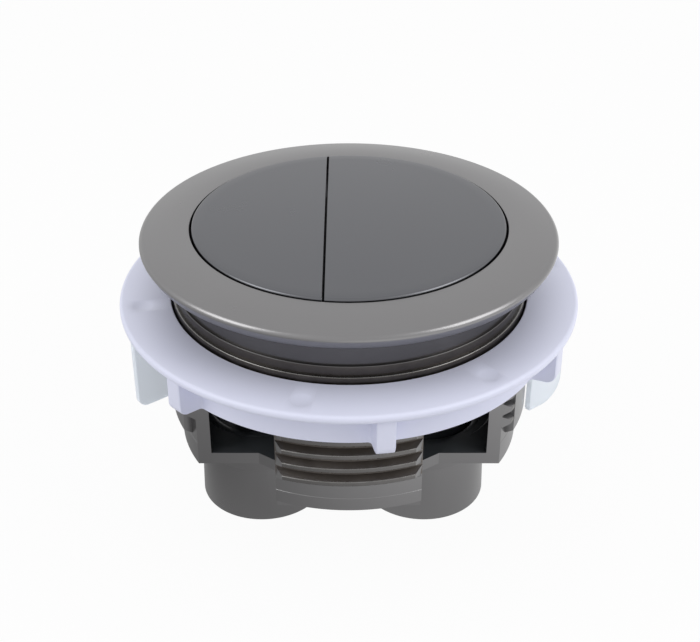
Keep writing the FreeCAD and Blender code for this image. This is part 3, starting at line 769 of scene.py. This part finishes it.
# Slots: 0 plated, 1 painted highlight along the split edge of the small cap
def makeCap(name, node, body, side):
    s = caps
    foot, under = s["rim"] - s["depth"], s["rim"] - s["plate"]
    bm = bmesh.new()
    crown = [(s["radius"] * k / 12, s["rim"] + s["crown"] * (1 - (k / 12) ** 2))
             for k in range(13)]
    ringProfile(bm, crown + [(s["radius"], foot), (s["radius"] - s["wall"], foot),
                             (s["radius"] - s["wall"], under), (0, under)], s["steps"])
    roundRing(bm, s["radius"], s["rim"], s["edgeRound"], segments=5)
    edgeX = s["splitX"] + side * s["splitGap"] / 2
    clipTo(bm, [((edgeX, 0, 0), (-side, 0, 0))])
    bmesh.ops.holes_fill(bm, edges=[e for e in bm.edges if e.is_boundary], sides=0)

    def onSplit(vert):
        return abs(vert.co.x - edgeX) < 0.001 and vert.co.z > under + 0.5

    topEdges = [e for e in bm.edges if all(onSplit(v) for v in e.verts)
                and e.calc_face_angle(0) > 0.5]
    bmesh.ops.bevel(bm, geom=topEdges, offset=s["splitRound"], offset_type="OFFSET", segments=4,
                    profile=0.5, affect="EDGES", material=-1, clamp_overlap=True)
    closeOutwards(bm)
    smoothByAngle(bm)
    cap = meshObject(name, bm)
    for face in cap.data.polygons:
        centre = face.center / mm
        # Painted highlight along the small cap's split edge
        alongSplit = abs(centre.x - edgeX) < s["splitRound"] and centre.z > under
        if side < 0 and alongSplit and 0.2 < face.normal.x < 0.97:
            face.material_index = 1
    return dress(cap, body, (capGrey, capEdgeHighlightGrey), (node,))


makeCap("smallCap", "small_button", "small_key", -1)
makeCap("largeCap", "large_button", "large_key", 1)
for nodeName in ("small_plunger", "large_plunger", "small_spring_seat", "large_spring_seat"):
    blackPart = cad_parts[nodeName]
    blackPart.data.materials.clear()
    blackPart.data.materials.append(innerBlack)
print("buttons made")


# Return springs in the wells

springs = {
    "coilRadius": 6.9, "wireRadius": 0.4, "turns": 5.5, "low": 2.45, "high": 15.05,
    "fixedEnd": 2.0, "travel": 6.0, "stepsPerTurn": 40, "wireSteps": 12,
}


def makeSpring(name, node, x):
    s = springs
    bm = bmesh.new()
    verts = bmesh.ops.create_circle(bm, cap_ends=True, radius=s["wireRadius"],
                                    segments=s["wireSteps"])["verts"]
    bmesh.ops.rotate(bm, cent=(0, 0, 0), matrix=Matrix.Rotation(math.pi / 2, 3, "X"), verts=verts)
    bmesh.ops.translate(bm, vec=(s["coilRadius"], 0, s["low"]), verts=verts)
    steps = int(s["turns"] * s["stepsPerTurn"])
    bmesh.ops.spin(bm, geom=[*bm.faces, *bm.edges, *bm.verts], cent=(0, 0, 0), axis=(0, 0, 1),
                   angle=2 * math.pi * s["turns"], steps=steps,
                   dvec=(0, 0, (s["high"] - s["low"]) / steps), use_merge=False)
    bmesh.ops.holes_fill(bm, edges=[e for e in bm.edges if e.is_boundary], sides=0)
    bmesh.ops.translate(bm, vec=(x, 0, 0), verts=bm.verts)
    closeOutwards(bm)
    smoothByAngle(bm, 50)
    spring = dress(meshObject(name, bm), "body", (springWire,), (node,))
    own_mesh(spring)


makeSpring("smallSpring", "small_return_spring", housing["smallLegX"])
makeSpring("largeSpring", "large_return_spring", housing["largeLegX"])
print("springs made")


# Floor, lights, world and camera

# Places, distances and lamp sizes in metres, the floor's size in millimetres
studio = {
    "floorSize": 1500, "floorWhite": 0.7, "floorRough": 0.8, "floorShare": 0.95,
    "nearRadius": 0.045, "farRadius": 0.13,
    "nearShine": 0.525, "farShine": 1.25, "mostShine": 1.25,
    "leftShine": 0.66, "rightShine": 1.55, "shineReach": 0.04,
    "horizonLight": 0.15, "zenithLight": 1.04,
    "aimHeight": 0.03, "keyPower": 0.82, "keyPlace": (-0.42, -0.18, 0.34), "keySize": 0.3,
    "fillPower": 0.8, "fillPlace": (0.4, -0.16, 0.3), "fillSize": 0.3,
    "cameraPlace": (0.000187, -0.18275, 0.14737), "cameraTilt": 58.366,
    "lens": 64.29, "sensor": 36, "clipStart": 0.01,
}


def mathNode(tree, operation, first, second):
    node = tree.nodes.new("ShaderNodeMath")
    node.operation = operation
    for index, value in ((0, first), (1, second)):
        if isinstance(value, (int, float)):
            node.inputs[index].default_value = value
        else:
            tree.links.new(value, node.inputs[index])
    return node.outputs["Value"]


def rangeNode(tree, value, fromLow, fromHigh, toLow, toHigh):
    node = tree.nodes.new("ShaderNodeMapRange")
    tree.links.new(value, node.inputs["Value"])
    node.inputs["From Min"].default_value = fromLow
    node.inputs["From Max"].default_value = fromHigh
    node.inputs["To Min"].default_value = toLow
    node.inputs["To Max"].default_value = toHigh
    return node.outputs["Result"]


# White to the camera; in reflections it is darker near the object, a painted soft shadow, and
# brighter to the right than to the left, a painted light
def makeFloor():
    bm = bmesh.new()
    bmesh.ops.create_grid(bm, x_segments=1, y_segments=1, size=studio["floorSize"])
    floor = meshObject("studioFloor", bm)
    material = bpy.data.materials.new("paleFloor")
    material.use_nodes = True
    tree = material.node_tree
    shader = tree.nodes["Principled BSDF"]
    white = studio["floorWhite"]
    shader.inputs["Base Color"].default_value = (white, white, white, 1)
    shader.inputs["Roughness"].default_value = studio["floorRough"]
    path = tree.nodes.new("ShaderNodeLightPath")
    coordinate = tree.nodes.new("ShaderNodeTexCoord")
    split = tree.nodes.new("ShaderNodeSeparateXYZ")
    tree.links.new(coordinate.outputs["Object"], split.inputs["Vector"])
    squareX = mathNode(tree, "MULTIPLY", split.outputs["X"], split.outputs["X"])
    squareY = mathNode(tree, "MULTIPLY", split.outputs["Y"], split.outputs["Y"])
    distance = mathNode(tree, "SQRT", mathNode(tree, "ADD", squareX, squareY), 0)
    # Painted shadow: the floor's reflections darker near the object
    shine = rangeNode(tree, distance, studio["nearRadius"], studio["farRadius"],
                      studio["nearShine"], studio["farShine"])
    # Painted light: the floor's reflections brighter to the right
    sideShine = rangeNode(tree, split.outputs["X"], -studio["shineReach"], studio["shineReach"],
                          studio["leftShine"], studio["rightShine"])
    shine = mathNode(tree, "MULTIPLY", shine, sideShine)
    shine = mathNode(tree, "MINIMUM", shine, studio["mostShine"])
    glossy = path.outputs["Is Glossy Ray"]
    level = mathNode(tree, "ADD", mathNode(tree, "MULTIPLY", glossy, shine),
                     mathNode(tree, "SUBTRACT", 1.0, glossy))
    glow = tree.nodes.new("ShaderNodeEmission")
    tree.links.new(level, glow.inputs["Strength"])
    seen = mathNode(tree, "MAXIMUM", path.outputs["Is Camera Ray"], glossy)
    seen = mathNode(tree, "MAXIMUM", seen, path.outputs["Is Transmission Ray"])
    share = mathNode(tree, "MULTIPLY", seen, studio["floorShare"])
    mix = tree.nodes.new("ShaderNodeMixShader")
    tree.links.new(share, mix.inputs["Fac"])
    tree.links.new(shader.outputs["BSDF"], mix.inputs[1])
    tree.links.new(glow.outputs["Emission"], mix.inputs[2])
    tree.links.new(mix.outputs["Shader"], tree.nodes["Material Output"].inputs["Surface"])
    floor.data.materials.append(material)


# White where it is seen, and a graded light from above for what it lights
def makeWorld():
    world = bpy.data.worlds.new("studioWorld")
    bpy.context.scene.world = world
    world.use_nodes = True
    tree = world.node_tree
    tree.nodes.clear()
    path = tree.nodes.new("ShaderNodeLightPath")
    coordinate = tree.nodes.new("ShaderNodeTexCoord")
    split = tree.nodes.new("ShaderNodeSeparateXYZ")
    tree.links.new(coordinate.outputs["Generated"], split.inputs["Vector"])
    light = rangeNode(tree, split.outputs["Z"], 0.0, 1.0,
                      studio["horizonLight"], studio["zenithLight"])
    seen = mathNode(tree, "MAXIMUM", path.outputs["Is Camera Ray"], path.outputs["Is Glossy Ray"])
    seen = mathNode(tree, "MAXIMUM", seen, path.outputs["Is Transmission Ray"])
    unseen = mathNode(tree, "MULTIPLY", mathNode(tree, "SUBTRACT", 1.0, seen), light)
    background = tree.nodes.new("ShaderNodeBackground")
    background.inputs["Color"].default_value = (1, 1, 1, 1)
    output = tree.nodes.new("ShaderNodeOutputWorld")
    tree.links.new(mathNode(tree, "ADD", seen, unseen), background.inputs["Strength"])
    tree.links.new(background.outputs["Background"], output.inputs["Surface"])


def addLamp(name, place, power, size):
    lamp = bpy.data.lights.new(name, "AREA")
    lamp.energy = power
    lamp.size = size
    lampObject = bpy.data.objects.new(name, lamp)
    lampObject.location = place
    aim = Vector((0, 0, studio["aimHeight"])) - Vector(place)
    lampObject.rotation_euler = aim.to_track_quat("-Z", "Y").to_euler()
    bpy.context.scene.collection.objects.link(lampObject)


def makeCamera():
    camera = bpy.data.cameras.new("photoCamera")
    camera.lens = studio["lens"]
    camera.sensor_width = studio["sensor"]
    camera.clip_start = studio["clipStart"]
    cameraObject = bpy.data.objects.new("photoCamera", camera)
    cameraObject.location = studio["cameraPlace"]
    cameraObject.rotation_euler = (math.radians(studio["cameraTilt"]), 0, 0)
    bpy.context.scene.collection.objects.link(cameraObject)
    bpy.context.scene.camera = cameraObject


makeFloor()
makeWorld()
addLamp("keyLamp", studio["keyPlace"], studio["keyPower"], studio["keySize"])
addLamp("fillLamp", studio["fillPlace"], studio["fillPower"], studio["fillSize"])
makeCamera()
bpy.context.scene.view_settings.view_transform = "Standard"
print("studio made")
